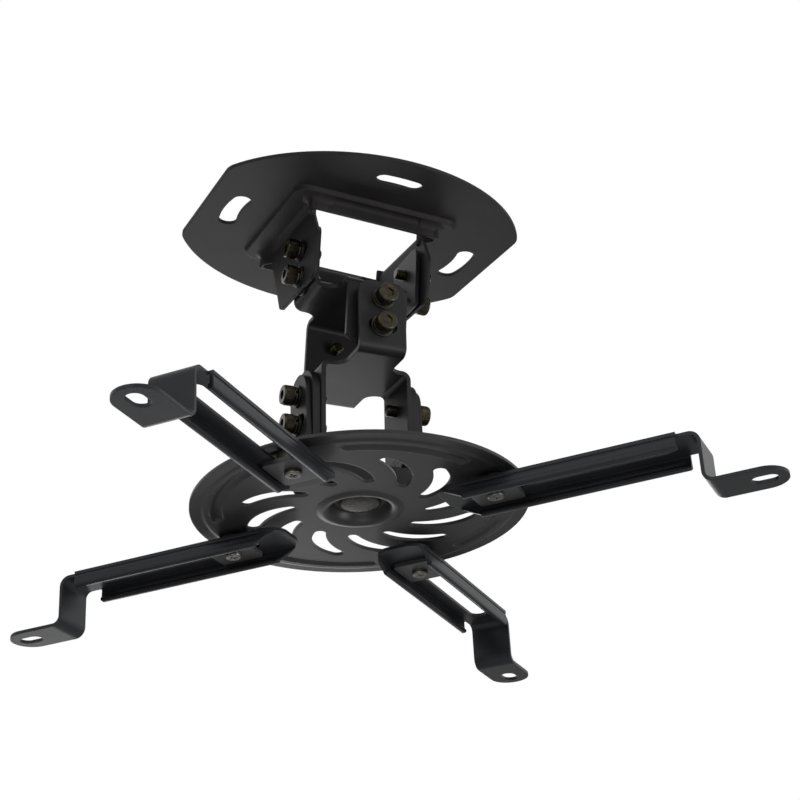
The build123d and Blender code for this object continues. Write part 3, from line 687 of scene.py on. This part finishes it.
links.new(entry.outputs["Band"], sleeve.inputs["Depth"])
links.new(corner_number.outputs[0], crest.inputs[0])
links.new(crest.outputs[0], rise.inputs[0])
links.new(entry.outputs["Ridge height"], rise.inputs[1])
links.new(corner_spot.outputs[0], level_out.inputs[0])
links.new(level_out.outputs[0], outward.inputs[0])
links.new(outward.outputs[0], push.inputs[0])
links.new(rise.outputs[0], push.inputs["Scale"])
links.new(sleeve.outputs["Mesh"], ridged.inputs["Geometry"])
links.new(push.outputs[0], ridged.inputs["Offset"])
links.new(entry.outputs["Band"], half_band.inputs[0])
links.new(entry.outputs["Rim"], half_band.inputs[2])
links.new(half_band.outputs[0], down.inputs[0])
links.new(down.outputs[0], drop.inputs["Z"])
links.new(ridged.outputs["Geometry"], seated.inputs["Geometry"])
links.new(drop.outputs[0], seated.inputs["Translation"])
links.new(seated.outputs["Geometry"], copies.inputs["Instance"])

# Threads: one turn after another of a rolled ridge, wound back from the screw's tip
thread_sizes = {
    "Core radius": 0.0024,
    "Pitch": 0.0008,
    "Length": 0.0042,
    "Ridge": 0.00028,
    "Points per turn": 20,
}
thread_tree, entry, copies = repeat_tree("screw_threads", thread_sizes)
links = thread_tree.links
turns_made = math_node(thread_tree, "DIVIDE")
winding = thread_tree.nodes.new("GeometryNodeCurveSpiral")
section = thread_tree.nodes.new("GeometryNodeCurvePrimitiveCircle")
section.inputs["Resolution"].default_value = 4
ridge = thread_tree.nodes.new("GeometryNodeCurveToMesh")
ridge.inputs["Fill Caps"].default_value = True
links.new(entry.outputs["Length"], turns_made.inputs[0])
links.new(entry.outputs["Pitch"], turns_made.inputs[1])
links.new(turns_made.outputs[0], winding.inputs["Rotations"])
links.new(entry.outputs["Points per turn"], winding.inputs["Resolution"])
links.new(entry.outputs["Core radius"], winding.inputs["Start Radius"])
links.new(entry.outputs["Core radius"], winding.inputs["End Radius"])
links.new(entry.outputs["Length"], winding.inputs["Height"])
links.new(entry.outputs["Ridge"], section.inputs["Radius"])
links.new(winding.outputs["Curve"], ridge.inputs["Curve"])
links.new(section.outputs["Curve"], ridge.inputs["Profile Curve"])
links.new(ridge.outputs["Mesh"], copies.inputs["Instance"])

tip_chamfer = 0.0004
for body, groups in screw_bodies.items():
    heads, tips = [], []
    for group in groups:
        for screw, outward, end, turn, length in joint_screws(group):
            heads.append((end, turn))
            tips.append((end - outward * (length - tip_chamfer), turn))
            dress(screw_steel, screw)
    bracket = body.replace("_body", "")
    repeated(f"{bracket}_head_knurls", knurl_tree, heads, {}, screw_steel, body)
    repeated(f"{bracket}_screw_threads", thread_tree, tips, {}, screw_steel, body)

# Washers: a flat washer and a split spring washer under every joint screw's head, both of
# black oxide steel. The spring washer is a flat wire wound once round, open by a narrow split.
washer_steel = oiled_steel("washer_steel", (0.050, 0.048, 0.042), 0.38, 260.0)
wound = 0.955
split_sizes = {"Ring radius": 0.00335, "Wire width": 0.0017, "Wire height": 0.0011, "Rise": 0.00018}
split_tree, entry, copies = repeat_tree("split_rings", split_sizes)
links = split_tree.links
wire_line = split_tree.nodes.new("GeometryNodeCurveSpiral")
wire_line.inputs["Resolution"].default_value = 40
wire_line.inputs["Rotations"].default_value = wound
upright = split_tree.nodes.new("GeometryNodeSetCurveNormal")
upright.mode = "Z_UP"
wire_section = split_tree.nodes.new("GeometryNodeCurvePrimitiveQuadrilateral")
wire = split_tree.nodes.new("GeometryNodeCurveToMesh")
wire.inputs["Fill Caps"].default_value = True
links.new(entry.outputs["Ring radius"], wire_line.inputs["Start Radius"])
links.new(entry.outputs["Ring radius"], wire_line.inputs["End Radius"])
links.new(entry.outputs["Rise"], wire_line.inputs["Height"])
links.new(entry.outputs["Wire width"], wire_section.inputs["Width"])
links.new(entry.outputs["Wire height"], wire_section.inputs["Height"])
links.new(wire_line.outputs["Curve"], upright.inputs["Curve"])
links.new(upright.outputs["Curve"], wire.inputs["Curve"])
links.new(wire_section.outputs["Curve"], wire.inputs["Profile Curve"])
links.new(wire.outputs["Mesh"], copies.inputs["Instance"])

head_height = 0.005
spring_height = 0.0013
seat_gap = 0.0001
for body, groups in screw_bodies.items():
    for group in groups:
        places = []
        for screw, outward, end, turn, length in joint_screws(group):
            places.append((end - outward * (head_height + spring_height / 2 + seat_gap), turn))
        split_name = f"{group}_split_washers"
        split_rings = repeated(split_name, split_tree, places, {}, washer_steel, body)
        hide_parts(f"{group}_spring_washers")
        dress(washer_steel, f"{group}_washers")

# Centre rivet and swivel washer: turned steel that holds the yoke on the arm plate and lets it
# swivel. Setting the rivet has domed the broad head in the hub's well.
rivet_steel = oiled_steel("rivet_steel", (0.045, 0.045, 0.047), 0.26, 180.0)
dress(rivet_steel, "centre_rivet", "swivel_washer")
dome_profile = (
    (0.0080, 0.0038),
    (0.0087, 0.0036),
    (0.0089, 0.0030),
    (0.0088, 0.0025),
    (0.0084, 0.0021),
    (0.0076, 0.0018),
    (0.0060, 0.00158),
    (0.0040, 0.00148),
    (0.0015, 0.00142),
)
skinned("rivet_dome", [turned(dome_profile)], "yoke", rivet_steel)

# Arm clamps: a coated clamp plate and a cross recess screw of dark zinc plated steel under
# each arm, with a spacer and a nut of black oxide steel above it. The screw's thread stands
# a little above its nut.
clamp_zinc = oiled_steel("clamp_zinc", (0.115, 0.115, 0.120), 0.33, 300.0)
clamp_coat = powder_coat(
    "clamp_coat",
    (0.0330, 0.0318, 0.0325),
    roughness=0.42,
    gloss=0.36,
    sheen=(1.0, 0.98, 1.0),
    peel_size=0.0006,
    soft_edge=0.0004,
)
clamp_thread = {"Core radius": 0.0019, "Pitch": 0.0004, "Length": 0.0009, "Ridge": 0.00016}
tip_round = 0.0001
for number in range(1, 5):
    end, turn, length = out_of(f"clamp_screw_{number}", -disc_up)
    tip = end + disc_up * (length - tip_round)
    body = f"clamp_{number}"
    name = f"clamp_thread_{number}"
    repeated(name, thread_tree, [(tip, turn)], clamp_thread, clamp_zinc, body)
    dress(clamp_coat, f"clamp_plate_{number}")
    dress(clamp_zinc, f"clamp_screw_{number}")
    dress(washer_steel, f"clamp_nut_{number}", f"arm_spacer_{number}")
